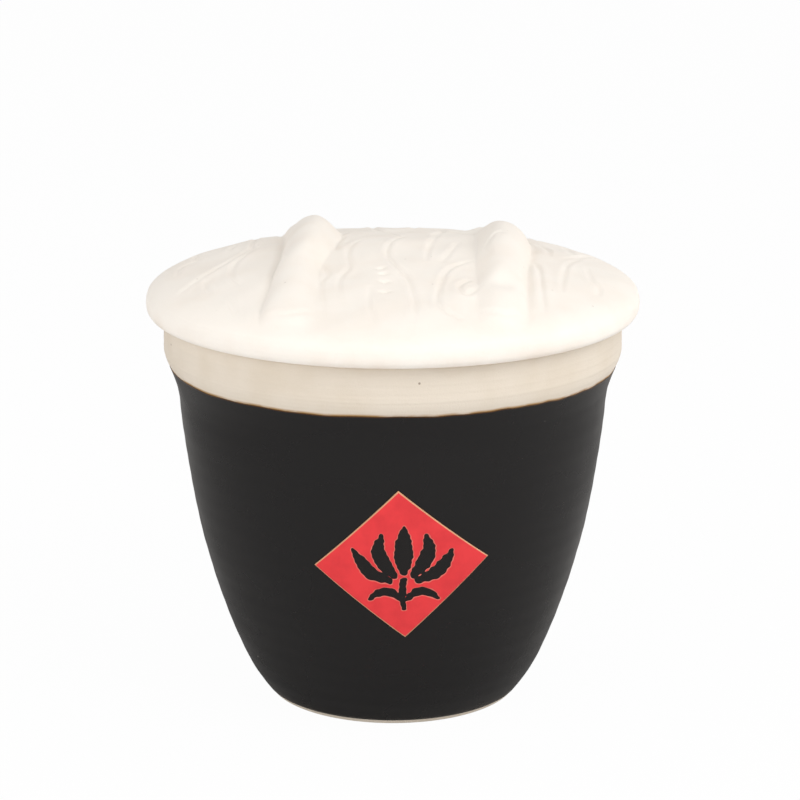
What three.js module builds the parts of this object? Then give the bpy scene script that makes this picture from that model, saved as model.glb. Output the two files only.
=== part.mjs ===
// A lidded stoneware storage jar: a turned pot with a black coat below a bare collar, a raised red
// diamond panel on its front, and a bisque lid that lifts off, with two fish in relief on its dome.
// Millimetres, +Z up, origin at the centre of the base, front of the jar towards -Y.
import * as THREE from 'three';

const SEGMENTS = 40;
const GAP = 0.3;
const COAT = 1.2;
const INSET = COAT + GAP;

// Outside of the pot below its collar, as [height, radius], from the foot to the start of the collar.
const POT_OUTLINE = [
  [0, 66.1], [8, 72.1], [16, 77.1], [28, 82.7], [45, 89.2], [65, 95.6],
  [90, 102], [115, 106.5], [140, 110], [150, 111.2], [160, 112], [166, 112.9], [170, 113.9],
];
const FOOT_EDGE_ROUNDING = 0.5;
const FOOT_INNER_RADIUS = 52;
const FOOT_HEIGHT = 6;
const COAT_START_HEIGHT = 2.6;
const FLOOR_TOP = 16;
const WALL_THICKNESS = 9;
const WALL_TOP = 168;

// The collar flares out of the wall, and the black coat ends on its lower bevel.
const COLLAR_FLARE = [[174, 115.1], [177.5, 116.4]];
const COAT_END = [180.2, 117.5];
const COLLAR_BEVEL = [[183, 118.9], [187, 120]];
const COLLAR_RADIUS = 120;
const COLLAR_TOP = 205;
const COLLAR_EDGE_ROUNDING = 2;
const MOUTH_RADIUS = 106;

// The lid: a low dome with a rolled edge, which overhangs the collar and sits on its top.
const LID_RADIUS = 128.4;
const LID_EDGE_HEIGHT = 213.9;
const LID_RISE = 28.2;
const LID_RISE_POWER = 0.913;
const LID_THICKNESS = 9;
const LID_SEAT = COLLAR_TOP + GAP;
const LID_ROLL = [[122, LID_SEAT], [125.8, 206.2], [127.7, 208], [128.5, 210.6]];
const LID_HOLLOW_RADIUS = 96;
const FLANGE_INNER_RADIUS = 96.5;
const FLANGE_OUTER_RADIUS = 103;
const FLANGE_BOTTOM = 193.5;

// Each fish as stations from its head at the front to its tail: [y, left x, right x, height].
const FISH_EDGE = 0.4;
const LEFT_FISH = [
  [-108, -64, -38, 1.5], [-90, -64.5, -37.5, 4.5], [-60, -61.5, -37.5, 7], [-35, -59.5, -36, 9.5],
  [-10, -57.5, -31, 11.5], [15, -57, -28, 12.5], [40, -57.5, -27, 12], [62, -59, -30, 8.5],
  [80, -60, -33, 4], [96, -62, -36, 1.5],
];
const RIGHT_FISH = [
  [-108, 42, 64, 1.5], [-90, 41, 66, 4.5], [-60, 42, 67, 8], [-33, 42, 68, 10],
  [-5, 43, 71, 11.5], [20, 44, 73, 12], [45, 44, 73, 10.5], [65, 44, 70, 7],
  [82, 40, 70, 4], [96, 40, 72, 1.5],
];

// Corners of the diamond panel as seen from the front: x and height, clockwise from the top.
const PANEL_TOP = [2.7, 140];
const PANEL_RIGHT = [47.6, 101];
const PANEL_BOTTOM = [6.2, 57.7];
const PANEL_LEFT = [-39.1, 97.2];
const PANEL_RELIEF = 1.5;

const clay = { color: 0xc9ab84, roughness: 0.9, metalness: 0 };
const blackCoat = { color: 0x151516, roughness: 0.18, metalness: 0 };
const bisque = { color: 0xeee3d6, roughness: 0.85, metalness: 0 };
const redPaint = { color: 0xd23a42, roughness: 0.45, metalness: 0 };

const jar = new THREE.Group();

// Adds one named piece to the jar.
function piece(name, geometry, look) {
  const mesh = new THREE.Mesh(geometry, new THREE.MeshStandardMaterial(look));
  mesh.name = name;
  jar.add(mesh);
}

// Turns a profile of [radius, height] points round the vertical axis.
function turned(profile) {
  const points = profile.map(([radius, height]) => new THREE.Vector2(radius, height));
  return new THREE.LatheGeometry(points, SEGMENTS).rotateX(Math.PI / 2);
}

// Closes a profile on itself, as a ring clear of the axis needs.
function ring(profile) {
  return turned([...profile, profile[0]]);
}

// Radius of the pot's outside at a height, on straight lines between the outline's points.
function potRadius(height) {
  const outline = [...POT_OUTLINE, ...COLLAR_FLARE, COAT_END];
  const upper = Math.max(1, outline.findIndex(([z]) => z >= height));
  const [z0, r0] = outline[upper - 1];
  const [z1, r1] = outline[upper];
  return r0 + (r1 - r0) * (height - z0) / (z1 - z0);
}

// The pot's outside between two heights, set in by some depth, as [radius, height] points.
function potSide(from, to, depth) {
  const between = [...POT_OUTLINE, ...COLLAR_FLARE].map(([z]) => z).filter((z) => z > from && z < to);
  return [from, ...between, to].map((z) => [potRadius(z) - depth, z]);
}

// Height of the lid's dome at a distance from the axis.
function domeHeight(radius) {
  const turn = Math.acos(Math.sqrt(Math.min(1, radius / LID_RADIUS)));
  return LID_EDGE_HEIGHT + LID_RISE * Math.sin(turn) ** LID_RISE_POWER;
}

// A closed slab on a grid of columns by rows. face and back give a point for u and v from 0 to 1,
// and u, v and the way out of the face are right-handed.
function slab(columns, rows, face, back) {
  const positions = [];
  for (const side of [face, back]) {
    for (let row = 0; row <= rows; row += 1) {
      for (let column = 0; column <= columns; column += 1) {
        positions.push(...side(column / columns, row / rows));
      }
    }
  }
  const layer = (columns + 1) * (rows + 1);
  const at = (column, row) => row * (columns + 1) + column;
  const index = [];
  for (let row = 0; row < rows; row += 1) {
    for (let column = 0; column < columns; column += 1) {
      const [a, b] = [at(column, row), at(column + 1, row)];
      const [c, d] = [at(column + 1, row + 1), at(column, row + 1)];
      index.push(a, b, c, a, c, d);
      index.push(layer + a, layer + c, layer + b, layer + a, layer + d, layer + c);
    }
  }
  const rim = [];
  for (let column = 0; column < columns; column += 1) rim.push(at(column, 0));
  for (let row = 0; row < rows; row += 1) rim.push(at(columns, row));
  for (let column = columns; column > 0; column -= 1) rim.push(at(column, rows));
  for (let row = rows; row > 0; row -= 1) rim.push(at(0, row));
  rim.forEach((a, i) => {
    const b = rim[(i + 1) % rim.length];
    index.push(a, layer + a, b, b, layer + a, layer + b);
  });
  const geometry = new THREE.BufferGeometry();
  geometry.setAttribute('position', new THREE.Float32BufferAttribute(positions, 3));
  geometry.setIndex(index);
  return geometry;
}

// Foot ring: bare clay, with a shallow recess inside it.
piece('foot_ring', ring([
  [FOOT_INNER_RADIUS, 0],
  [potRadius(0) - FOOT_EDGE_ROUNDING, 0],
  [potRadius(FOOT_EDGE_ROUNDING), FOOT_EDGE_ROUNDING],
  [potRadius(COAT_START_HEIGHT) - INSET, COAT_START_HEIGHT - GAP],
  [potRadius(FOOT_HEIGHT) - INSET, FOOT_HEIGHT],
  [FOOT_INNER_RADIUS + 1, FOOT_HEIGHT],
]), clay);

// Pot wall with its floor: bare clay between the two coats.
const WALL_BOTTOM = FOOT_HEIGHT + GAP;
const CLAY_INSIDE = WALL_THICKNESS - INSET;
piece('jar_wall', turned([
  [0, WALL_BOTTOM],
  ...potSide(WALL_BOTTOM, WALL_TOP, INSET),
  ...potSide(FLOOR_TOP + 6, WALL_TOP, CLAY_INSIDE).reverse(),
  [potRadius(FLOOR_TOP) - CLAY_INSIDE - 4, FLOOR_TOP],
  [0, FLOOR_TOP],
]), clay);

// Collar: bare clay above the coat, thick, with a flat top that the lid sits on.
const COLLAR_BOTTOM = WALL_TOP + GAP;
piece('rim_band', ring([
  [potRadius(COLLAR_BOTTOM) - CLAY_INSIDE, COLLAR_BOTTOM],
  ...potSide(COLLAR_BOTTOM, COAT_END[0], INSET),
  [COAT_END[1] + 0.9, COAT_END[0] + GAP + 0.6],
  ...COLLAR_BEVEL.map(([z, r]) => [r, z]),
  [COLLAR_RADIUS, COLLAR_TOP - COLLAR_EDGE_ROUNDING],
  [COLLAR_RADIUS - COLLAR_EDGE_ROUNDING, COLLAR_TOP],
  [MOUTH_RADIUS + COLLAR_EDGE_ROUNDING, COLLAR_TOP],
  [MOUTH_RADIUS, COLLAR_TOP - COLLAR_EDGE_ROUNDING],
  [MOUTH_RADIUS, COAT_END[0]],
]), clay);

// Black coat on the outside, from just above the foot to the collar's bevel.
piece('outer_glaze', ring([
  ...potSide(COAT_START_HEIGHT, COAT_END[0], 0),
  ...potSide(COAT_START_HEIGHT, COAT_END[0], COAT).reverse(),
]), blackCoat);

// Dark coat on the inside, over the floor and up the wall to the collar.
const LINER_BACK = CLAY_INSIDE + GAP;
const LINER_FACE = LINER_BACK + COAT;
piece('inner_glaze', turned([
  [0, FLOOR_TOP + GAP],
  [potRadius(FLOOR_TOP) - LINER_BACK - 4.4, FLOOR_TOP + GAP],
  ...potSide(FLOOR_TOP + 6.4, WALL_TOP, LINER_BACK),
  ...potSide(FLOOR_TOP + 7, WALL_TOP, LINER_FACE).reverse(),
  [potRadius(FLOOR_TOP) - LINER_FACE - 4.4, FLOOR_TOP + INSET],
  [0, FLOOR_TOP + INSET],
]), blackCoat);

// Diamond panel: a thin raised slab that follows the wall, between its four corners.
function panelPoint(u, v, relief) {
  const across = (i) => (1 - v) * ((1 - u) * PANEL_BOTTOM[i] + u * PANEL_RIGHT[i])
    + v * ((1 - u) * PANEL_LEFT[i] + u * PANEL_TOP[i]);
  const [x, height] = [across(0), across(1)];
  const radius = potRadius(height) + relief;
  const turn = Math.asin(x / potRadius(height));
  return [radius * Math.sin(turn), -radius * Math.cos(turn), height];
}
piece('diamond_panel', slab(
  10,
  10,
  (u, v) => panelPoint(u, v, PANEL_RELIEF),
  (u, v) => panelPoint(u, v, GAP),
), redPaint);

// Lid dome: one shell, flat where it sits on the collar and hollow below.
const DOME_STEPS = 8;
const domeTop = [];
for (let step = 0; step <= DOME_STEPS; step += 1) {
  const radius = LID_RADIUS * Math.cos((step / DOME_STEPS) * (Math.PI / 2)) ** 2;
  domeTop.push([radius, domeHeight(radius)]);
}
const HOLLOW_RADII = [30, 60, 84, 93];
piece('lid_dome', turned([
  [0, domeHeight(0) - LID_THICKNESS],
  ...HOLLOW_RADII.map((radius) => [radius, domeHeight(radius) - LID_THICKNESS]),
  [LID_HOLLOW_RADIUS, domeHeight(LID_HOLLOW_RADIUS) - LID_THICKNESS - 4],
  [LID_HOLLOW_RADIUS, LID_SEAT],
  ...LID_ROLL,
  ...domeTop,
]), bisque);

// Flange under the lid: a ring that drops into the mouth and keeps the lid centred.
piece('lid_flange', ring([
  [FLANGE_INNER_RADIUS + 1, FLANGE_BOTTOM],
  [FLANGE_OUTER_RADIUS - 1.5, FLANGE_BOTTOM],
  [FLANGE_OUTER_RADIUS, FLANGE_BOTTOM + 2],
  [FLANGE_OUTER_RADIUS, LID_SEAT - GAP],
  [FLANGE_INNER_RADIUS, LID_SEAT - GAP],
]), bisque);

// A fish in relief: a rounded back that lies on the dome, between its left and right edges.
function fish(stations) {
  const along = (v) => {
    const place = v * (stations.length - 1);
    const lower = Math.min(stations.length - 2, Math.floor(place));
    const share = place - lower;
    return stations[lower].map((value, i) => value + (stations[lower + 1][i] - value) * share);
  };
  const surface = (lift) => (u, v) => {
    const [y, left, right, height] = along(v);
    const x = left + (right - left) * u;
    const bulge = (1 - (2 * u - 1) ** 2) ** 0.7;
    return [x, y, domeHeight(Math.hypot(x, y)) + GAP + lift * (FISH_EDGE + height * bulge)];
  };
  return slab(8, 18, surface(1), surface(0));
}
piece('left_fish', fish(LEFT_FISH), bisque);
piece('right_fish', fish(RIGHT_FISH), bisque);

export default jar;
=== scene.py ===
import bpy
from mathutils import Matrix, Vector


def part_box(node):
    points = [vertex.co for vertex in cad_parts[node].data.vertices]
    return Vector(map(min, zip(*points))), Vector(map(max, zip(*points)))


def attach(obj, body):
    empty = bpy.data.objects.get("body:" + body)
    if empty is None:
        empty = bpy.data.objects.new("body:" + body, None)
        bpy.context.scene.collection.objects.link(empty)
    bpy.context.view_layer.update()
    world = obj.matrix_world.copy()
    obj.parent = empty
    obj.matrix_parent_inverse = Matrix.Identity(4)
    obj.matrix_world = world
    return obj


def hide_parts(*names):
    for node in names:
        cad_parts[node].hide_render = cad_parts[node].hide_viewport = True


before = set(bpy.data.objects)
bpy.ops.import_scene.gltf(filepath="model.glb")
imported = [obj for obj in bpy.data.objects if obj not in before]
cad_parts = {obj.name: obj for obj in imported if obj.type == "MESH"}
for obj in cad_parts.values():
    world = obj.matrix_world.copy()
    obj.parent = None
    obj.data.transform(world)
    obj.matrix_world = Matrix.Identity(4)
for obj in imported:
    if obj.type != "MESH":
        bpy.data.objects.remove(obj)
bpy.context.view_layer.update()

import math

import bpy
import numpy as np

# Camera, lights and surroundings.
# The jar stands alone on white, seen a little from above through a long lens. Soft light comes
# from both sides, a little harder from the upper right, and from a pale room all round.
MM = 0.001
CAMERA_DISTANCE = 1450 * MM
CAMERA_HEIGHT = 552.4 * MM
CAMERA_PITCH = 15.28
SENSOR_WIDTH = 36
FOCAL_PIXELS = 2849
FRAME_PIXELS = 800
AXIS_PIXEL = 392.8

scene = bpy.context.scene
scene.view_settings.view_transform = "Standard"
camera = bpy.data.objects.new("camera", bpy.data.cameras.new("camera"))
scene.collection.objects.link(camera)
scene.camera = camera
camera.location = (0, -CAMERA_DISTANCE, CAMERA_HEIGHT)
camera.rotation_euler = (math.radians(90 - CAMERA_PITCH), 0, 0)
camera.data.sensor_width = SENSOR_WIDTH
camera.data.lens = SENSOR_WIDTH * FOCAL_PIXELS / FRAME_PIXELS
camera.data.shift_x = (FRAME_PIXELS / 2 - AXIS_PIXEL) / FRAME_PIXELS


def area_light(name, place, target, size, power, in_gloss):
    """A square light that faces its target. Gloss mirrors it only if in_gloss is true."""
    light = bpy.data.objects.new(name, bpy.data.lights.new(name, "AREA"))
    scene.collection.objects.link(light)
    light.location = place
    aim = np.array(target) - np.array(place)
    turn = math.atan2(aim[1], aim[0]) - math.pi / 2
    tilt = math.atan2(math.hypot(aim[0], aim[1]), -aim[2])
    light.rotation_euler = (tilt, 0, turn)
    light.data.size = size
    light.data.energy = power
    light.visible_glossy = in_gloss


LID_CENTRE = (0, 0, 0.2)
WALL_CENTRE = (0, 0, 0.1)
area_light("key", (0.9, -0.8, 1.15), LID_CENTRE, 0.9, 10, False)
area_light("fill", (-1.3, -1.2, 0.8), LID_CENTRE, 1.6, 13, False)
area_light("side", (1.5, 0.2, 0.5), WALL_CENTRE, 0.9, 3, True)


class Nodes:
    """A node tree being filled: new nodes, their settings and their links in one call."""

    def __init__(self, tree):
        self.tree = tree

    def add(self, kind, settings=None, **inputs):
        node = self.tree.nodes.new(kind)
        for name, value in (settings or {}).items():
            setattr(node, name, value)
        for name, value in inputs.items():
            self.feed(node, name.replace("_", " "), value)
        return node

    def feed(self, node, name_or_place, value):
        socket = node.inputs[name_or_place]
        if isinstance(value, bpy.types.NodeSocket):
            self.tree.links.new(value, socket)
        else:
            socket.default_value = value

    def math(self, operation, *values, clamp=False):
        node = self.add("ShaderNodeMath", {"operation": operation, "use_clamp": clamp})
        for i, value in enumerate(values):
            self.feed(node, i, value)
        return node.outputs[0]

    def mix(self, factor, first, second):
        node = self.add("ShaderNodeMix", {"data_type": "RGBA"})
        for socket, value in ((0, factor), (6, first), (7, second)):
            self.feed(node, socket, value)
        return node.outputs[2]

    def step(self, value, low, high, start=0.0, end=1.0):
        node = self.add("ShaderNodeMapRange", {"interpolation_type": "SMOOTHSTEP"})
        names = ("Value", "From Min", "From Max", "To Min", "To Max")
        for name, number in zip(names, (value, low, high, start, end)):
            self.feed(node, name, number)
        return node.outputs[0]


# White shows behind the jar, and gloss sees a room that is darker on the camera's side.
WHITE = (1, 1, 1, 1)
ROOM_FRONT = 0.27
ROOM_BACK = 0.8
ROOM_SOFT_LIGHT = 0.6
world = bpy.data.worlds.new("studio")
scene.world = world
world.use_nodes = True
world.node_tree.nodes.clear()
room = Nodes(world.node_tree)
ray = room.add("ShaderNodeLightPath")
direction = room.add("ShaderNodeTexCoord").outputs["Generated"]
sight = room.add("ShaderNodeSeparateXYZ", Vector=direction)
in_gloss = room.step(sight.outputs["Y"], -0.75, 0.35, ROOM_FRONT, ROOM_BACK)
in_gloss = room.math("MULTIPLY", in_gloss, ray.outputs["Is Glossy Ray"])
seen = room.math("MAXIMUM", in_gloss, ray.outputs["Is Camera Ray"])
not_gloss = room.math("SUBTRACT", 1.0, ray.outputs["Is Glossy Ray"])
soft = room.math("MULTIPLY", not_gloss, ROOM_SOFT_LIGHT)
strength = room.math("MAXIMUM", seen, soft)
sky = room.add("ShaderNodeBackground", Color=WHITE, Strength=strength)
room.add("ShaderNodeOutputWorld", Surface=sky.outputs[0])

# The floor shows almost pure white, lights the jar from below, and is darker in gloss.
FLOOR_REACH = 6
FLOOR_PALE = (0.86, 0.86, 0.86, 1)
FLOOR_IN_GLOSS = (0.36, 0.35, 0.34, 1)
FLOOR_WHITE_SHARE = 0.97
corners = [(x * FLOOR_REACH, y * FLOOR_REACH, 0) for x, y in ((-1, -1), (1, -1), (1, 1), (-1, 1))]
floor_mesh = bpy.data.meshes.new("floor")
floor_mesh.from_pydata(corners, [], [(0, 1, 2, 3)])
floor = bpy.data.objects.new("floor", floor_mesh)
scene.collection.objects.link(floor)
floor_look = bpy.data.materials.new("pale_floor")
floor_look.use_nodes = True
floor_look.node_tree.nodes.clear()
tree = Nodes(floor_look.node_tree)
ray = tree.add("ShaderNodeLightPath")
floor_colour = tree.mix(ray.outputs["Is Glossy Ray"], FLOOR_PALE, FLOOR_IN_GLOSS)
lit = tree.add("ShaderNodeBsdfDiffuse", Color=floor_colour)
white = tree.add("ShaderNodeEmission", Color=WHITE, Strength=1.0)
shown = tree.math("MULTIPLY", ray.outputs["Is Camera Ray"], FLOOR_WHITE_SHARE)
blend = tree.add("ShaderNodeMixShader", Fac=shown)
tree.feed(blend, 1, lit.outputs[0])
tree.feed(blend, 2, white.outputs[0])
tree.add("ShaderNodeOutputMaterial", Surface=blend.outputs[0])
floor_mesh.materials.append(floor_look)

# Bare clay: foot ring and collar.
# Beige stoneware, fired without a coat. It is matt and fine-grained, with dark iron specks,
# and the tool's lines run round it where it was turned.
SEGMENTS = 360


def turned(name, rows, tag=None, segments=SEGMENTS):
    """A closed turned surface from rows of radius and height in millimetres, up the outside first.
    A row may vary round the axis, and rows at radius 0 close the surface at the axis. A third
    value in the rows becomes the attribute that tag names."""
    columns = []
    for column in zip(*rows):
        columns.append(np.stack([np.broadcast_to(np.asarray(v, float), segments) for v in column]))
    grid_r = columns[0] * MM
    grid_z = columns[1] * MM
    turn = np.arange(segments) * 2 * math.pi / segments
    points = np.stack([grid_r * np.sin(turn), -grid_r * np.cos(turn), grid_z], axis=2).reshape(-1, 3)
    count = len(rows)
    on_axis = [i for i in range(count) if np.max(grid_r[i]) < 1e-9]
    faces = []
    for i in range(count - 1) if on_axis else range(count):
        below = i * segments
        above = ((i + 1) % count) * segments
        for j in range(segments):
            k = (j + 1) % segments
            if i in on_axis:
                faces.append((below, above + k, above + j))
            elif (i + 1) % count in on_axis:
                faces.append((below + j, below + k, above))
            else:
                faces.append((below + j, below + k, above + k, above + j))
    used = np.unique(np.concatenate([np.array(face) for face in faces]))
    renumber = np.full(len(points), -1)
    renumber[used] = np.arange(len(used))
    mesh = bpy.data.meshes.new(name)
    mesh.from_pydata(points[used].tolist(), [], [tuple(renumber[list(face)]) for face in faces])
    if tag:
        attribute = mesh.attributes.new(tag, "FLOAT", "POINT")
        attribute.data.foreach_set("value", columns[2].reshape(-1)[used].astype(np.float32))
    mesh.polygons.foreach_set("use_smooth", [True] * len(mesh.polygons))
    thing = bpy.data.objects.new(name, mesh)
    scene.collection.objects.link(thing)
    return thing


def curve_through(keys, count):
    """Points spaced evenly by key along a smooth curve through the keys."""
    keys = np.array(keys, float)
    padded = np.vstack([2 * keys[0] - keys[1], keys, 2 * keys[-1] - keys[-2]])
    place = np.linspace(0, len(keys) - 1, count)
    lower = np.minimum(place.astype(int), len(keys) - 2)
    t = (place - lower)[:, None]
    a, b, c, d = (padded[lower + i] for i in range(4))
    straight = 2 * b + (c - a) * t
    bend = (2 * a - 5 * b + 4 * c - d) * t ** 2
    twist = (3 * b - a - 3 * c + d) * t ** 3
    return 0.5 * (straight + bend + twist)


def ease(value, low, high):
    t = np.clip((value - low) / (high - low), 0, 1)
    return t * t * (3 - 2 * t)


# Outside of the pot as (height, radius) in millimetres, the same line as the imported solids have.
POT_OUTLINE = [
    (0, 66.1), (8, 72.1), (16, 77.1), (28, 82.7), (45, 89.2), (65, 95.6), (90, 102), (115, 106.5),
    (140, 110), (150, 111.2), (160, 112), (166, 112.9), (170, 113.9), (174, 115.1), (177.5, 116.4),
    (180.2, 117.5), (183, 118.9), (187, 120),
]
BEVEL_TOP = 187
COLLAR_RADIUS = 120
COLLAR_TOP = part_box("rim_band")[1].z / MM
COLLAR_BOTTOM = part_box("rim_band")[0].z / MM
MOUTH_RADIUS = 106
COAT_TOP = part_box("outer_glaze")[1].z / MM
COAT_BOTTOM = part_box("outer_glaze")[0].z / MM
outline = curve_through(POT_OUTLINE, 400)
around = np.arange(SEGMENTS) * 2 * math.pi / SEGMENTS


def pot_radius(height):
    return np.interp(height, outline[:, 0], outline[:, 1])


def material(name):
    """An empty look: the material, its tree, its shader and the place on the jar."""
    look = bpy.data.materials.new(name)
    look.use_nodes = True
    look.node_tree.nodes.clear()
    tree = Nodes(look.node_tree)
    shader = tree.add("ShaderNodeBsdfPrincipled")
    tree.add("ShaderNodeOutputMaterial", Surface=shader.outputs[0])
    place = tree.add("ShaderNodeTexCoord").outputs["Object"]
    return look, tree, shader, place


def dress(thing, look, slot, body, *nodes):
    """Gives a piece its look, hangs it on the body it rides and hides the solids it stands for."""
    thing.data.materials.clear()
    thing.data.materials.append(look)
    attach(thing, body)
    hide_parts(*nodes)


def group(name, inputs, outputs):
    """A shader node group. Inputs are (name, kind, value), and outputs are (name, kind)."""
    tree = bpy.data.node_groups.new(name, "ShaderNodeTree")
    for label, kind, value in inputs:
        made = tree.interface.new_socket(name=label, in_out="INPUT", socket_type=kind)
        if value is not None:
            made.default_value = value
    for label, kind in outputs:
        tree.interface.new_socket(name=label, in_out="OUTPUT", socket_type=kind)
    inner = Nodes(tree)
    return tree, inner, inner.add("NodeGroupInput"), inner.add("NodeGroupOutput")


# Clay grain: sandy mottling, fine pits and sparse iron specks, as colour and height.
IRON = (0.16, 0.09, 0.05, 1)
GRAIN_DEPTH = 0.12 * MM
grain_tree, grain, given, result = group(
    "clay grain",
    [
        ("Place", "NodeSocketVector", None), ("Colour", "NodeSocketColor", WHITE),
        ("Shade", "NodeSocketColor", (0.5, 0.4, 0.3, 1)), ("Mottling", "NodeSocketFloat", 0.3),
        ("Speck Amount", "NodeSocketFloat", 0.5),
    ],
    [("Colour", "NodeSocketColor"), ("Height", "NodeSocketFloat")],
)
place = given.outputs["Place"]
cloud = grain.add("ShaderNodeTexNoise", Vector=place, Scale=38.0, Detail=5.0).outputs["Fac"]
sand = grain.add("ShaderNodeTexNoise", Vector=place, Scale=1500.0, Detail=3.0).outputs["Fac"]
pits = grain.add("ShaderNodeTexVoronoi", Vector=place, Scale=420.0)
flecks = grain.add("ShaderNodeTexVoronoi", Vector=place, Scale=150.0)
fleck_pick = grain.add("ShaderNodeSeparateColor", Color=flecks.outputs["Color"])
rare = grain.step(fleck_pick.outputs[0], 0.9, 0.93)
dot = grain.math("MULTIPLY", grain.step(flecks.outputs["Distance"], 0.05, 0.12, 1.0, 0.0), rare)
dot = grain.math("MULTIPLY", dot, given.outputs["Speck Amount"])
tone = grain.math("MULTIPLY", grain.step(cloud, 0.38, 0.7), given.outputs["Mottling"])
fine = grain.math("MULTIPLY", grain.step(sand, 0.45, 0.75), 0.12)
shaded = grain.math("ADD", tone, fine, clamp=True)
colour = grain.mix(shaded, given.outputs["Colour"], given.outputs["Shade"])
grain.feed(result, "Colour", grain.mix(dot, colour, IRON))
hollow = grain.step(pits.outputs["Distance"], 0.0, 0.22, -0.6, 0.0)
grain.feed(result, "Height", grain.math("ADD", sand, hollow))


def grained(tree, place, colour, shade, mottling, specks):
    node = tree.add("ShaderNodeGroup", {"node_tree": grain_tree}, Place=place)
    settings = {"Colour": colour, "Shade": shade, "Mottling": mottling, "Speck Amount": specks}
    for name, value in settings.items():
        tree.feed(node, name, value)
    return node


def bumped(tree, shader, height, distance):
    bump = tree.add("ShaderNodeBump", Height=height, Distance=distance, Strength=1.0)
    tree.feed(shader, "Normal", bump.outputs[0])


# An ochre halo runs along the coat's edge, where above_coat, in millimetres, is small.
CLAY = (0.76, 0.675, 0.57, 1)
CLAY_SHADE = (0.66, 0.56, 0.43, 1)
OCHRE = (0.42, 0.235, 0.075, 1)
bare_clay, tree, shader, place = material("bare_clay")
clay = grained(tree, place, CLAY, CLAY_SHADE, 0.35, 0.7)
above_coat = tree.add("ShaderNodeAttribute", {"attribute_name": "above_coat"}).outputs["Fac"]
patchy = tree.add("ShaderNodeTexNoise", Vector=place, Scale=70.0, Detail=3.0).outputs["Fac"]
near_coat = tree.step(above_coat, 0.1, 1.6, 1.0, 0.0)
halo = tree.math("MULTIPLY", near_coat, tree.step(patchy, 0.32, 0.6, 0.25, 1.0))
tree.feed(shader, "Base Color", tree.mix(halo, clay.outputs["Colour"], OCHRE))
tree.feed(shader, "Roughness", 0.82)
bumped(tree, shader, clay.outputs["Height"], GRAIN_DEPTH)

# Foot ring: flat where it stands, with a small rounded edge outside and a bevelled one inside.
FAR_FROM_COAT = 9.0
FOOT_PROFILE = [
    (52, 0.6), (52.6, 0), (58, 0), (65.4, 0), (66.1, 0.3), (66.7, 1), (67.4, 2.2), (68.6, 4), (69.2, 6),
    (60, 6), (53, 6), (52.2, 3),
]
foot = turned("bare_foot", [(r, z, FAR_FROM_COAT) for r, z in FOOT_PROFILE], "above_coat")
dress(foot, bare_clay, "bare_clay", "jar", "foot_ring")

# The coat's upper edge runs a little unevenly round the collar's bevel: each wave has its
# height in millimetres, its number round the jar and its start.
EDGE_WAVES = [(0.3, 3, 0.6), (0.22, 11, 2), (0.12, 29, 0)]
EDGE_BITES = (0.16, 53, 1)
EDGE_LOW = 0.75
ragged = sum(size * np.sin(number * around + start) for size, number, start in EDGE_WAVES)
size, number, start = EDGE_BITES
ragged = ragged + size * np.sin(number * around + start) * ease(np.sin(around + 0.35), 0.1, 0.9)
coat_edge = COAT_TOP - EDGE_LOW + ragged

# Collar: thick bare ring round the mouth, turned with faint ridges, flat on top for the lid.
CLAY_UNDER_COAT = 0.25
FACE_LEAN = 0.012
LINE_SPACING = 4.0
LINE_DEPTH = 0.035
LINES_FROM = (181.5, 184.5)
COLLAR_ROWS = 120
EDGE_ROWS = 7
EDGE_ROUNDING = 2
OUTER_ROUNDING = 1.9
OUTER_EDGE = 0.4
WALL_INSIDE = 104.4
MOUTH_STRAIGHT_ABOVE = 181
collar_rows = []
for height in np.linspace(COLLAR_BOTTOM, COLLAR_TOP - EDGE_ROUNDING, COLLAR_ROWS):
    radius = pot_radius(height) - FACE_LEAN * max(0, height - BEVEL_TOP)
    drift = 0.5 * np.sin(around + 1) + 0.3 * np.sin(2 * around)
    lines = np.sin((height + drift) * 2 * math.pi / LINE_SPACING) + 0.5 * np.sin((height - drift) * 2.9)
    lines = lines * LINE_DEPTH * ease(height, *LINES_FROM)
    collar_rows.append((radius - CLAY_UNDER_COAT + lines, height, height - coat_edge))
for turn in np.linspace(0, math.pi / 2, EDGE_ROWS)[1:]:
    radius = COLLAR_RADIUS - OUTER_EDGE - OUTER_ROUNDING * (1 - math.cos(turn))
    height = COLLAR_TOP - EDGE_ROUNDING * (1 - math.sin(turn))
    collar_rows.append((radius, height, FAR_FROM_COAT))
for turn in np.linspace(math.pi / 2, math.pi, EDGE_ROWS):
    radius = MOUTH_RADIUS + EDGE_ROUNDING * (1 + math.cos(turn))
    height = COLLAR_TOP - EDGE_ROUNDING * (1 - math.sin(turn))
    collar_rows.append((radius, height, FAR_FROM_COAT))
for height in (195, 188, MOUTH_STRAIGHT_ABOVE, 174, COLLAR_BOTTOM):
    radius = np.interp(height, [COLLAR_BOTTOM, MOUTH_STRAIGHT_ABOVE], [WALL_INSIDE, MOUTH_RADIUS])
    collar_rows.append((radius, height, FAR_FROM_COAT))
collar = turned("collar", collar_rows, "above_coat")
dress(collar, bare_clay, "bare_clay", "jar", "rim_band")

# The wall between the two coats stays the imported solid, in the same clay.
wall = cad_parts["jar_wall"]
wall.data.materials.clear()
wall.data.materials.append(bare_clay)

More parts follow.
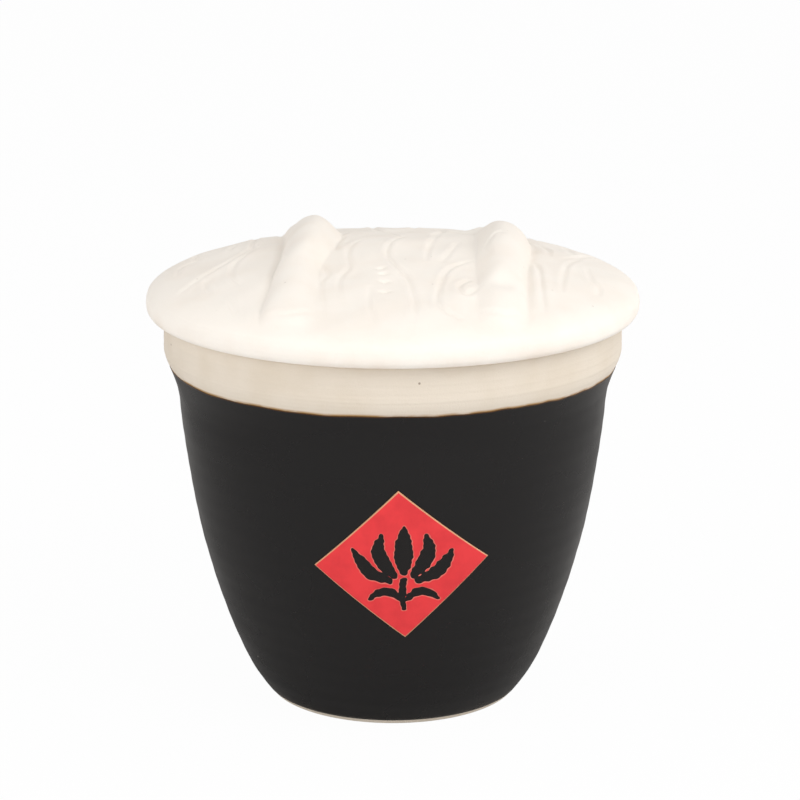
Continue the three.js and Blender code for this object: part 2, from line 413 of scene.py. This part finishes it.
# Black coat: outside of the pot and, browner, the inside.
# Glossy black, poured on and fired. It has pinholes, thins to brown at its upper edge, and
# follows the faint unevenness of the turned wall.
COAT_PROUD = 0.1
COAT_DEPTH = 1.2
COAT_EDGE_ROUNDING = 0.4
COAT_EDGE_BULGE = 0.3
COAT_EDGE_ROWS = 5
COAT_BACK_DROP = 0.6
EVEN_AT_ENDS = (3, 14)
UNEVEN_BELOW = 180
HIDDEN = -9.0
coat_shares = np.concatenate([np.linspace(0, 0.9, 110), np.linspace(0.9, 1, 30)[1:]])
coat_rows = []
for share in coat_shares:
    height = COAT_BOTTOM + (coat_edge - COAT_EDGE_ROUNDING - COAT_BOTTOM) * share
    turning = 0.09 * np.sin(height * 0.62 + 0.8 * np.sin(around))
    turning = turning + 0.07 * np.sin(height * 0.27 + 2 * around)
    lumps = 0.16 * np.sin(2 * around + height * 0.03) + 0.1 * np.sin(5 * around + 1 + height * 0.05)
    fade = ease(height, *EVEN_AT_ENDS) * ease(UNEVEN_BELOW - height, *EVEN_AT_ENDS)
    uneven = (turning + lumps) * 0.5 * fade
    radius = pot_radius(height) - 0.15 * fade + uneven + COAT_PROUD * (1 - fade)
    coat_rows.append((radius, height, height - coat_edge))
edge_radius = pot_radius(coat_edge - COAT_EDGE_ROUNDING) + COAT_PROUD
for turn in np.linspace(0, math.pi / 2, COAT_EDGE_ROWS)[1:]:
    radius = edge_radius + COAT_EDGE_BULGE * math.sin(turn) - COAT_EDGE_ROUNDING * (1 - math.cos(turn))
    height = coat_edge - COAT_EDGE_ROUNDING * (1 - math.sin(turn))
    coat_rows.append((radius, height, 0.0))
for share in np.linspace(1, 0, 24):
    height = COAT_BOTTOM + (coat_edge - COAT_BACK_DROP - COAT_BOTTOM) * share
    coat_rows.append((pot_radius(height) - COAT_DEPTH, height, HIDDEN))
coat = turned("black_coat", coat_rows, "above_coat")

# Coat surface: sparse pinholes, patches of softer gloss and a fine orange peel.
coat_tree, shine, given, result = group(
    "coat surface",
    [
        ("Place", "NodeSocketVector", None), ("Colour", "NodeSocketColor", (0, 0, 0, 1)),
        ("Pinhole", "NodeSocketColor", (0.3, 0.28, 0.25, 1)),
    ],
    [("Colour", "NodeSocketColor"), ("Roughness", "NodeSocketFloat"), ("Height", "NodeSocketFloat")],
)
place = given.outputs["Place"]
holes = shine.add("ShaderNodeTexVoronoi", Vector=place, Scale=95.0)
hole_pick = shine.add("ShaderNodeSeparateColor", Color=holes.outputs["Color"])
in_hole = shine.step(holes.outputs["Distance"], 0.02, 0.05, 1.0, 0.0)
pinhole = shine.math("MULTIPLY", in_hole, shine.step(hole_pick.outputs[1], 0.9, 0.92))
haze = shine.add("ShaderNodeTexNoise", Vector=place, Scale=26.0, Detail=4.0).outputs["Fac"]
peel = shine.add("ShaderNodeTexNoise", Vector=place, Scale=160.0, Detail=2.0).outputs["Fac"]
shine.feed(result, "Colour", shine.mix(pinhole, given.outputs["Colour"], given.outputs["Pinhole"]))
shine.feed(result, "Roughness", shine.step(haze, 0.3, 0.75, 0.2, 0.33))
shine.feed(result, "Height", shine.math("ADD", peel, shine.math("MULTIPLY", pinhole, -1.5)))

BLACK = (0.0085, 0.0078, 0.008, 1)
THIN_BROWN = (0.10, 0.045, 0.016, 1)
black_glaze, tree, shader, place = material("black_glaze")
surface = tree.add("ShaderNodeGroup", {"node_tree": coat_tree}, Place=place, Colour=BLACK)
above_coat = tree.add("ShaderNodeAttribute", {"attribute_name": "above_coat"}).outputs["Fac"]
thin = tree.step(above_coat, -0.9, 0.0)
tree.feed(shader, "Base Color", tree.mix(thin, surface.outputs["Colour"], THIN_BROWN))
tree.feed(shader, "Roughness", surface.outputs["Roughness"])
bumped(tree, shader, surface.outputs["Height"], 0.03 * MM)
dress(coat, black_glaze, "black_glaze", "jar", "outer_glaze")

# Inner coat: over the floor with a rounded corner, and up the wall to the collar.
FLOOR_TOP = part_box("inner_glaze")[0].z / MM
LINER_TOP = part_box("inner_glaze")[1].z / MM
LINER_FACE = 9.0
LINER_DEPTH = 0.8
LINER_ON_FLOOR = 1.0
LINER_CORNER = 0.6
RIPPLE = 0.15
FLOOR_CORNER = [(0, 0), (20, 0), (40, 0), (54, 0.3), (60, 1.4), (64.4, 3.6), (67.8, 7)]
floor_back = curve_through([(r, FLOOR_TOP + z) for r, z in FLOOR_CORNER], 24)
wall_heights = np.linspace(FLOOR_TOP + 8, LINER_TOP, 50)
liner_rows = [(r, z) for r, z in floor_back]
liner_rows += [(pot_radius(z) - LINER_FACE + LINER_DEPTH, z) for z in wall_heights]
for z in wall_heights[-2::-1]:
    liner_rows.append((pot_radius(z) - LINER_FACE + RIPPLE * math.sin(z * 0.9), z))
liner_rows += [(max(0, r - LINER_CORNER), z + LINER_ON_FLOOR) for r, z in floor_back[::-1]]
liner = turned("inner_coat", liner_rows)

DARK_BROWN = (0.035, 0.018, 0.009, 1)
inner_look, tree, shader, place = material("inner_glaze")
surface = tree.add("ShaderNodeGroup", {"node_tree": coat_tree}, Place=place, Colour=DARK_BROWN)
tree.feed(shader, "Base Color", surface.outputs["Colour"])
tree.feed(shader, "Roughness", surface.outputs["Roughness"])
bumped(tree, shader, surface.outputs["Height"], 0.04 * MM)
dress(liner, inner_look, "inner_glaze", "jar", "inner_glaze")

# Diamond panel: a thin moulded diamond stuck on the wall.
# Red with a fine cream line round its edge. A lotus is sunk into it and filled with glossy
# black, and a pale hairline shows where the black meets the red.
PANEL_CORNERS = np.array([(6.2, 57.7), (47.6, 101), (2.7, 140), (-39.1, 97.2)])
PANEL_GRID = 210
PANEL_FACE = 1.15
PANEL_BACK = 0.3
BORDER_ROUNDING = 0.9
SUNK = 0.75


def distance_to_stroke(points, keys):
    """Least distance from each point to a brush stroke's edge. Keys are (x, z, half width)."""
    line = curve_through(keys, 26 * (len(keys) - 1))
    least = np.full(len(points), 1e9)
    for x, z, half in line:
        np.minimum(least, np.hypot(points[:, 0] - x, points[:, 1] - z) - half, out=least)
    return least


# Lotus in millimetres from the panel's middle: petals, then the stem and its leaves.
LOTUS = [
    [(1, -3, 2.2), (1, 4, 4.4), (1, 12, 4.2), (1, 21, 1.0)],
    [(-4, -5, 2.0), (-9, 2, 3.8), (-11.5, 9, 3.3), (-10, 17, 0.9)],
    [(6, -5, 2.0), (11, 2, 3.8), (13.5, 9, 3.3), (12, 17, 0.9)],
    [(-6, -8, 1.8), (-15, -4, 3.5), (-20, 2, 2.9), (-24, 9, 0.8)],
    [(8, -8, 1.8), (17, -4, 3.5), (22, 2, 2.9), (25, 8, 0.8)],
    [(1, -8, 1.7), (0.3, -15, 1.9), (1, -24, 1.2)],
    [(0, -19, 1.2), (-6, -14.5, 2.4), (-12, -15.5, 2.0), (-16, -19, 0.8)],
    [(2, -19, 1.2), (8, -14.5, 2.4), (14, -15.5, 2.0), (18, -19, 0.8)],
]
middle = PANEL_CORNERS.mean(axis=0)
bottom, right, top, left = PANEL_CORNERS
steps = np.linspace(0, 1, PANEL_GRID + 1)
u, v = np.meshgrid(steps, steps)
flat = ((1 - v) * (1 - u))[..., None] * bottom + ((1 - v) * u)[..., None] * right
flat = flat + (v * (1 - u))[..., None] * left + (v * u)[..., None] * top
flat = flat.reshape(-1, 2)
side = np.linalg.norm(right - bottom)
to_border = (np.minimum(np.minimum(u, 1 - u), np.minimum(v, 1 - v)) * side).reshape(-1)
to_brush = np.min([distance_to_stroke(flat - middle, keys) for keys in LOTUS], axis=0)
wobble = 0.22 * np.sin(flat[:, 0] * 1.3 + flat[:, 1] * 0.7) + 0.14 * np.sin(flat[:, 1] * 2.1)
to_brush = to_brush + wobble
face = PANEL_BACK + (PANEL_FACE - PANEL_BACK) * np.sqrt(np.clip(to_border / BORDER_ROUNDING, 0, 1))
face = face - SUNK * ease(-to_brush, -0.3, 0.45)
face = face + 0.05 * np.sin(flat[:, 0] * 0.35) * np.sin(flat[:, 1] * 0.3)


def on_wall(points, lift):
    radius = pot_radius(points[:, 1])
    turn = np.arcsin(points[:, 0] / radius)
    out = radius + lift
    return np.stack([out * np.sin(turn), -out * np.cos(turn), points[:, 1]], axis=1) * MM


row = PANEL_GRID + 1
layer = row ** 2
vertices = np.vstack([on_wall(flat, face), on_wall(flat, np.zeros(layer))])
faces = []
for j in range(PANEL_GRID):
    for i in range(PANEL_GRID):
        a = j * row + i
        faces.append((a, a + 1, a + row + 1, a + row))
        faces.append((layer + a, layer + a + row, layer + a + row + 1, layer + a + 1))
rim = list(range(PANEL_GRID))
rim += [j * row + PANEL_GRID for j in range(PANEL_GRID)]
rim += [PANEL_GRID * row + i for i in range(PANEL_GRID, 0, -1)]
rim += [j * row for j in range(PANEL_GRID, 0, -1)]
for a, b in zip(rim, rim[1:] + rim[:1]):
    faces.append((a, layer + a, layer + b, b))
panel_mesh = bpy.data.meshes.new("diamond")
panel_mesh.from_pydata(vertices.tolist(), [], faces)
for tag, values in (("to_brush", to_brush), ("to_border", to_border)):
    attribute = panel_mesh.attributes.new(tag, "FLOAT", "POINT")
    attribute.data.foreach_set("value", np.concatenate([values, values]).astype(np.float32))
panel_mesh.polygons.foreach_set("use_smooth", [True] * len(faces))
panel = bpy.data.objects.new("diamond", panel_mesh)
scene.collection.objects.link(panel)

RED = (0.84, 0.036, 0.042, 1)
RED_SHADE = (0.74, 0.028, 0.035, 1)
CREAM = (0.72, 0.47, 0.25, 1)
PALE_RED = (0.75, 0.38, 0.27, 1)
BRUSH_BLACK = (0.009, 0.008, 0.008, 1)
red_look, tree, shader, place = material("red_panel")
to_stroke = tree.add("ShaderNodeAttribute", {"attribute_name": "to_brush"}).outputs["Fac"]
to_edge = tree.add("ShaderNodeAttribute", {"attribute_name": "to_border"}).outputs["Fac"]
washy = tree.add("ShaderNodeTexNoise", Vector=place, Scale=90.0, Detail=4.0).outputs["Fac"]
paint = tree.mix(tree.step(washy, 0.35, 0.7), RED, RED_SHADE)
edge_line = tree.math("MULTIPLY", tree.step(to_edge, 0.45, 0.75, 1.0, 0.0), 0.8)
paint = tree.mix(edge_line, paint, CREAM)
outside = tree.step(to_stroke, 0.0, 0.12)
hairline = tree.math("MULTIPLY", outside, tree.step(to_stroke, 0.22, 0.42, 1.0, 0.0))
paint = tree.mix(tree.math("MULTIPLY", hairline, 0.55), paint, PALE_RED)
in_stroke = tree.step(to_stroke, -0.08, 0.08, 1.0, 0.0)
tree.feed(shader, "Base Color", tree.mix(in_stroke, paint, BRUSH_BLACK))
tree.feed(shader, "Roughness", tree.step(to_stroke, -0.1, 0.1, 0.2, 0.42))
speckle = tree.add("ShaderNodeTexNoise", Vector=place, Scale=900.0, Detail=2.0).outputs["Fac"]
bumped(tree, shader, speckle, 0.05 * MM)
dress(panel, red_look, "red_panel", "jar", "diamond_panel")

# Lid: one thick shell of bisque, pressed in a mould.
# Its low dome carries two fish that run from front to back, with water waves carved between
# and beside them. The edge is rolled, and a flange below it drops into the mouth.
LID_RADIUS = 128.4
LID_EDGE_HEIGHT = 213.9
LID_RISE = 28.2
LID_RISE_POWER = 0.913
LID_THICKNESS = 9
LID_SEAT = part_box("lid_dome")[0].z / MM
FLANGE_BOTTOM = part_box("lid_flange")[0].z / MM


def dome_height(radius):
    turn = np.arccos(np.sqrt(np.clip(radius / LID_RADIUS, 0, 1)))
    return LID_EDGE_HEIGHT + LID_RISE * np.sin(turn) ** LID_RISE_POWER


# Fish stations from the head at the front: y, left x, right x, height of the back.
LEFT_FISH = [
    (-108, -64, -38, 1.5), (-90, -64.5, -37.5, 4.5), (-60, -61.5, -37.5, 7), (-35, -59.5, -36, 9.5),
    (-10, -57.5, -31, 11.5), (15, -57, -28, 12.5), (40, -57.5, -27, 12), (62, -59, -30, 8.5),
    (80, -60, -33, 4), (96, -62, -36, 1.5),
]
RIGHT_FISH = [
    (-108, 42, 64, 1.5), (-90, 41, 66, 4.5), (-60, 42, 67, 8), (-33, 42, 68, 10), (-5, 43, 71, 11.5),
    (20, 44, 73, 12), (45, 44, 73, 10.5), (65, 44, 70, 7), (82, 40, 70, 4), (96, 40, 72, 1.5),
]
# Carved lines as seen from above, each with its depth. Each wave is repeated at the back,
# turned half round, for the stretch of it that lies in front of WAVE_REPEAT.
WAVES = [
    (0.7, [(-24, 58), (-28, 32), (-30, 5), (-29, -11)]),
    (0.7, [(-8, 22), (-17, 12), (-22, -4), (-23, -23), (-22, -39), (-26, -53), (-27, -69), (-25, -81)]),
    (0.8, [(6, 21), (-1, -2), (-3, -20), (1, -39), (7, -56), (10, -78), (11, -95), (10, -109)]),
    (0.8, [(24, 38), (19, -1), (17, -30)]),
    (0.7, [(34, 17), (30, -11), (25, -30)]),
    (0.6, [(-11, -69), (-12, -88), (-10, -103), (-9, -109)]),
    (0.8, [(-69, 34), (-77, 10), (-82, -11), (-82, -33), (-77, -49)]),
    (0.8, [(-72, 40), (-80, 13), (-90, -11), (-109, -43)]),
    (0.6, [(-100, 25), (-111, 15), (-112, -8)]),
    (0.6, [(-95, -30), (-95, -44), (-92, -56)]),
    (0.7, [(-81, -68), (-75, -93)]),
    (1.0, [(74, -10), (75, -25), (75, -55), (75, -84)]),
    (0.8, [(100, 24), (91, -3), (87, -32), (85, -55)]),
    (0.8, [(101, -2), (102, -25), (105, -34), (104, -47)]),
]
WAVE_REPEAT = -10
FIN_LINES = [
    (1.0, [(39, -26), (29, -40), (24, -63), (22, -87), (26, -98), (33, -105)]),
    (1.1, [(38, -56), (33, -68), (36, -79), (42, -69)]),
    (0.7, [(-36, -33), (-33, -48), (-36, -63), (-34, -100)]),
    (0.8, [(58, -3), (54, 2), (48, -16), (49, -34)]),
    (0.6, [(44, -96), (53, -100), (61, -97)]),
    (0.5, [(-60, -98), (-50, -101), (-41, -98)]),
]
TAIL_RAYS = [(0.7, [(x, 70), (x * 1.16, 100)]) for x in (-52, -45, -38, 47, 55, 63)]
# Dents as depth, x, y, half width and half length: four small pits in a row, the hollow in the
# right fish's head and, with a depth below 0, the swelling of the fin beside it.
DENTS = [
    (1.2, -6, -43, 2.4, 1.8), (1.2, -5, -52, 2.4, 1.8), (1.2, -4, -62, 2.4, 1.8),
    (1.2, -4, -75, 2.4, 1.8), (2.2, 55, -70, 6, 7), (-1.3, 33, -82, 8, 22),
]


def carved(x, y, depth, keys):
    """Height of one carved line at each point, with a low lip beside it. It thins at its ends."""
    line = curve_through(keys, 14 * (len(keys) - 1))
    reach = 6
    near = (x > line[:, 0].min() - reach) & (x < line[:, 0].max() + reach)
    near &= (y > line[:, 1].min() - reach) & (y < line[:, 1].max() + reach)
    along = np.linspace(0, 1, len(line))
    fullness = 0.35 + 0.65 * np.sqrt(np.abs(np.sin(math.pi * along)))
    px, py = x[near], y[near]
    nearest = np.full(px.shape, 1e9)
    weight = np.zeros(px.shape)
    for (line_x, line_y), full in zip(line, fullness):
        gap = np.hypot(px - line_x, py - line_y)
        weight = np.where(gap < nearest, full, weight)
        nearest = np.minimum(gap, nearest)
    groove = -depth * np.exp(-(nearest / 1.3) ** 2)
    lip = 0.35 * depth * np.exp(-((nearest - 3.1) / 1.6) ** 2)
    cut = np.zeros(x.shape)
    cut[near] = (groove + lip) * weight
    return cut


def fish_body(x, y, stations, steep_side):
    """Height of a fish's back over the dome, and how far a point is inside its outline.
    Its outer side, left at -1 or right at 1, is steep with a valley beside it."""
    keys = curve_through(stations, 200)
    left, right, height = (np.interp(y, keys[:, 0], keys[:, i]) for i in (1, 2, 3))
    across = (2 * x - left - right) / (right - left)
    ends = ease(y, -114, -104) * (1 - ease(y, 92, 104))
    inside = np.clip(1 - across ** 2, 0, 1)
    roundness = np.where(across * steep_side > 0, 0.75, 1.35)
    body = (height * inside ** roundness) * ends
    valley = -0.9 * np.exp(-((across * steep_side - 1.05) / 0.17) ** 2)
    return body + valley * ends, inside * ends


def relief(x, y):
    """Height of everything that stands on or is carved into the dome, in millimetres."""
    left_body, in_left = fish_body(x, y, LEFT_FISH, -1)
    right_body, in_right = fish_body(x, y, RIGHT_FISH, 1)
    total = left_body + right_body
    between = 1 - np.clip((in_left + in_right) * 6, 0, 1)
    for depth, keys in WAVES:
        total = total + carved(x, y, depth, keys) * between
        repeated = [(-kx, -ky) for kx, ky in keys if ky < WAVE_REPEAT]
        if len(repeated) > 1:
            total = total + carved(x, y, depth, repeated) * between
    for depth, keys in FIN_LINES + TAIL_RAYS:
        total = total + carved(x, y, depth, keys)
    for depth, dent_x, dent_y, wide, long in DENTS:
        total = total - depth * np.exp(-(((x - dent_x) / wide) ** 2 + ((y - dent_y) / long) ** 2))
    lumps = 0.35 * np.sin(x * 0.09 + 1) * np.sin(y * 0.11) + 0.2 * np.sin(x * 0.21 - y * 0.17)
    near_edge = 1 - ease(np.hypot(x, y), 112, 125)
    return (total + lumps) * near_edge


LID_SEGMENTS = 480
DOME_ROWS = 150
HOLLOW_REACH = 88
ROLL = [(LID_RADIUS, LID_EDGE_HEIGHT), (128.5, 210.9), (127.8, 208.2), (125.8, 206.2), (122, LID_SEAT)]
SEAT_AND_FLANGE = [
    (118, LID_SEAT), (108, LID_SEAT), (103.4, LID_SEAT), (103, LID_SEAT - 0.6), (103, LID_SEAT - 5),
    (103, FLANGE_BOTTOM + 2), (102.4, FLANGE_BOTTOM + 0.6), (101, FLANGE_BOTTOM), (98.6, FLANGE_BOTTOM),
    (97.2, FLANGE_BOTTOM + 0.7), (96.6, FLANGE_BOTTOM + 4), (96.4, LID_SEAT), (96, 210),
    (94.6, 213.6), (92, 217),
]
lid_around = np.arange(LID_SEGMENTS) * 2 * math.pi / LID_SEGMENTS
lid_rows = [(radius, dome_height(radius) - LID_THICKNESS) for radius in np.linspace(0, HOLLOW_REACH, 22)]
lid_rows += SEAT_AND_FLANGE[::-1]
lid_rows += list(curve_through(ROLL, 26)[::-1])
for radius in np.linspace(LID_RADIUS, 0, DOME_ROWS)[1:]:
    x = radius * np.sin(lid_around)
    y = -radius * np.cos(lid_around)
    lid_rows.append((radius, dome_height(radius) + relief(x, y)))
lid = turned("fish_lid", lid_rows, segments=LID_SEGMENTS)

# The bisque is warm white and slightly sandy, with faint ochre stains low on the roll.
BISQUE = (0.955, 0.895, 0.82, 1)
BISQUE_SHADE = (0.90, 0.80, 0.70, 1)
STAIN = (0.68, 0.47, 0.30, 1)
STAIN_FADE = (200 * MM, 216.5 * MM)
bisque, tree, shader, place = material("lid_bisque")
clay = grained(tree, place, BISQUE, BISQUE_SHADE, 0.3, 0.2)
height = tree.add("ShaderNodeSeparateXYZ", Vector=place).outputs["Z"]
low = tree.step(height, *STAIN_FADE, 1.0, 0.0)
smoke = tree.add("ShaderNodeTexNoise", Vector=place, Scale=24.0, Detail=5.0).outputs["Fac"]
stain = tree.math("MULTIPLY", low, tree.step(smoke, 0.42, 0.72, 0.0, 0.5))
tree.feed(shader, "Base Color", tree.mix(stain, clay.outputs["Colour"], STAIN))
tree.feed(shader, "Roughness", 0.78)
bumped(tree, shader, clay.outputs["Height"], GRAIN_DEPTH)
dress(lid, bisque, "lid_bisque", "lid", "lid_dome", "lid_flange", "left_fish", "right_fish")
